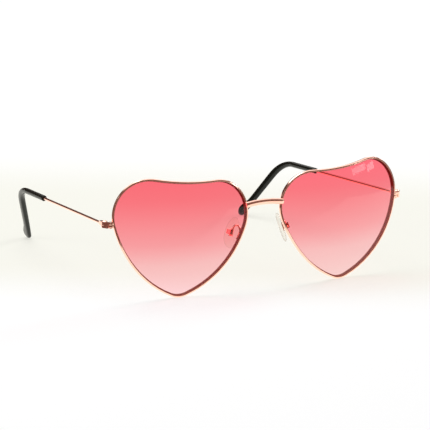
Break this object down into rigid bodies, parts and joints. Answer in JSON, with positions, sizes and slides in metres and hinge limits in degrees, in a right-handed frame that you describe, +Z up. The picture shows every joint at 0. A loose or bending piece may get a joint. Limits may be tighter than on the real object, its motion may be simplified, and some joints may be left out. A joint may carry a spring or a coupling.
{
  "type": "sunglasses",
  "caption": "Heart shaped sunglasses with wire rims, curved tinted lenses, an arched bridge, rocking nose pads and wire temples that fold.",
  "frame": {"origin": "on the table that the sunglasses stand on, under the middle of their box", "axes": "+X to the right as seen from in front of the lenses, +Y back along the open temples, +Z up; the lenses face -Y"},
  "size_m": [0.1454, 0.1186, 0.0518],
  "materials": {
    "rose_gold": "polished, rose gold plated",
    "tinted_lens": "clear, tinted pinkish red at the top and fading to pale pink at the bottom",
    "black_sleeve": "glossy black",
    "clear_pad": "clear, soft and smooth"
  },
  "bodies": {
    "front": {"bridge": "rose_gold", "rim_left": "rose_gold", "closing_block_upper_left": "rose_gold", "closing_block_lower_left": "rose_gold", "rim_screw_left": "rose_gold", "end_piece_left": "rose_gold", "hinge_screw_left": "rose_gold", "pad_arm_left": "rose_gold", "pad_box_left": "rose_gold", "pad_screw_left": "rose_gold", "lens_left": "tinted_lens", "rim_right": "rose_gold", "closing_block_upper_right": "rose_gold", "closing_block_lower_right": "rose_gold", "rim_screw_right": "rose_gold", "end_piece_right": "rose_gold", "hinge_screw_right": "rose_gold", "pad_arm_right": "rose_gold", "pad_box_right": "rose_gold", "pad_screw_right": "rose_gold", "lens_right": "tinted_lens"},
    "temple_left": {"temple_hinge_left": "rose_gold", "temple_wire_left": "rose_gold", "ear_tip_left": "black_sleeve"},
    "temple_right": {"temple_hinge_right": "rose_gold", "temple_wire_right": "rose_gold", "ear_tip_right": "black_sleeve"},
    "pad_left": {"pad_core_left": "rose_gold", "nose_pad_left": "clear_pad"},
    "pad_right": {"pad_core_right": "rose_gold", "nose_pad_right": "clear_pad"}
  },
  "joints": [
    {"name": "temple_left_fold", "type": "hinge", "parent": "front", "child": "temple_left", "pos_m": [-0.07146, -0.04722, 0.03306], "axis": [0, 0, -1], "range_deg": [0, 80]},
    {"name": "temple_right_fold", "type": "hinge", "parent": "front", "child": "temple_right", "pos_m": [0.07146, -0.04722, 0.03306], "axis": [0, 0, 1], "range_deg": [0, 75]},
    {"name": "nose_pad_left_rock", "type": "hinge", "parent": "front", "child": "pad_left", "pos_m": [-0.01379, -0.05133, 0.02516], "axis": [-0.5, 0.866, 0], "range_deg": [-8, 8]},
    {"name": "nose_pad_right_rock", "type": "hinge", "parent": "front", "child": "pad_right", "pos_m": [0.01379, -0.05133, 0.02516], "axis": [0.5, 0.866, 0], "range_deg": [-8, 8]}
  ]
}
